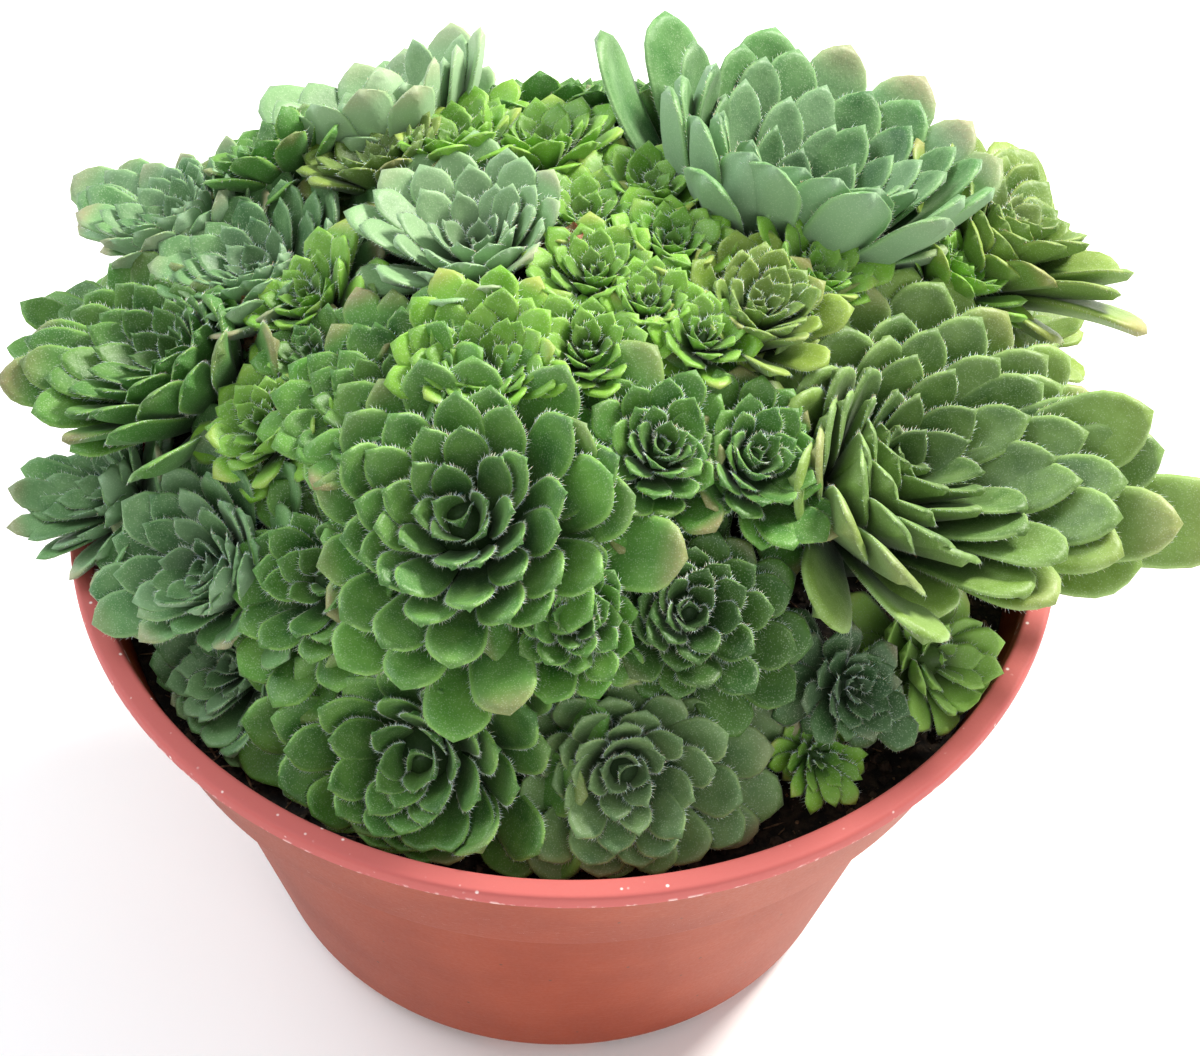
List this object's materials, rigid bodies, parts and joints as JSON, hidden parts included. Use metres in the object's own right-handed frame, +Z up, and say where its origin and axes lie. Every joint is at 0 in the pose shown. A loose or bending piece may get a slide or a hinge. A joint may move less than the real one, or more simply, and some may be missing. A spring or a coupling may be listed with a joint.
{
  "type": "potted rosularia",
  "caption": "Low round bowl pot with a collared rim, filled with soil and a dense mound of fleshy leaf rosettes in several sizes.",
  "frame": {"origin": "centre of the pot's underside, on the plane that its feet stand on", "axes": "+Z up along the pot's axis, -Y towards the front of the picture, +X to its right"},
  "size_m": [0.2074, 0.1951, 0.1722],
  "materials": {
    "pot_plastic": "thin moulded plastic, slightly worn",
    "soil": "dark crumbly potting mix",
    "leaf_mid": "mid green fleshy leaf with a fine velvet of short hairs",
    "leaf_grey": "grey green fleshy leaf with a fine velvet of short hairs",
    "leaf_bright": "yellow green fleshy leaf with a fine velvet of short hairs",
    "leaf_teal": "blue green fleshy leaf with a fine velvet of short hairs",
    "leaf_olive": "yellowing fleshy leaf with a fine velvet of short hairs"
  },
  "bodies": {
    "root": {"pot": "pot_plastic", "soil": "soil", "rosette_front_tall": "leaf_mid", "rosette_front_left": "leaf_mid", "rosette_front_middle": "leaf_grey", "rosette_left_tall": "leaf_mid", "rosette_bright_middle": "leaf_bright", "rosette_middle_low": "leaf_mid", "rosette_centre_right": "leaf_mid", "rosette_centre_right_dark": "leaf_mid", "rosette_right_big": "leaf_teal", "rosette_dark_small": "leaf_teal", "rosette_lime_small": "leaf_bright", "rosette_tiny": "leaf_bright", "rosette_bud_top": "leaf_bright", "rosette_bright_upper": "leaf_bright", "rosette_bright_a": "leaf_bright", "rosette_bright_b": "leaf_bright", "rosette_bright_c": "leaf_bright", "rosette_bright_d": "leaf_bright", "rosette_bright_e": "leaf_bright", "rosette_bright_f": "leaf_bright", "rosette_left_inner": "leaf_mid", "rosette_top_centre": "leaf_teal", "rosette_left_small": "leaf_bright", "rosette_left_small_low": "leaf_bright", "rosette_left_big": "leaf_olive", "rosette_left_rim_small": "leaf_teal", "rosette_left_low": "leaf_teal", "rosette_left_lower": "leaf_teal", "rosette_left_upper": "leaf_teal", "rosette_left_back": "leaf_teal", "rosette_back_left": "leaf_bright", "rosette_dark_group": "leaf_mid", "rosette_top_left": "leaf_teal", "rosette_back_small_left": "leaf_bright", "rosette_back_small_middle": "leaf_bright", "rosette_back_small_centre": "leaf_bright", "rosette_top_right_big": "leaf_teal", "rosette_upper_middle_right": "leaf_olive", "rosette_upper_right_small": "leaf_bright", "rosette_right_small": "leaf_bright", "rosette_right_upper": "leaf_olive", "rosette_far_left_back": "leaf_mid", "rosette_right_back": "leaf_teal", "rosette_back_right": "leaf_mid", "rosette_back_centre": "leaf_mid", "rosette_back_low_right": "leaf_bright", "rosette_back_low_centre": "leaf_teal", "rosette_back_low_left": "leaf_mid", "rosette_left_back_low": "leaf_teal", "rosette_right_low_back": "leaf_mid", "rosette_right_low": "leaf_teal"}
  },
  "joints": []
}
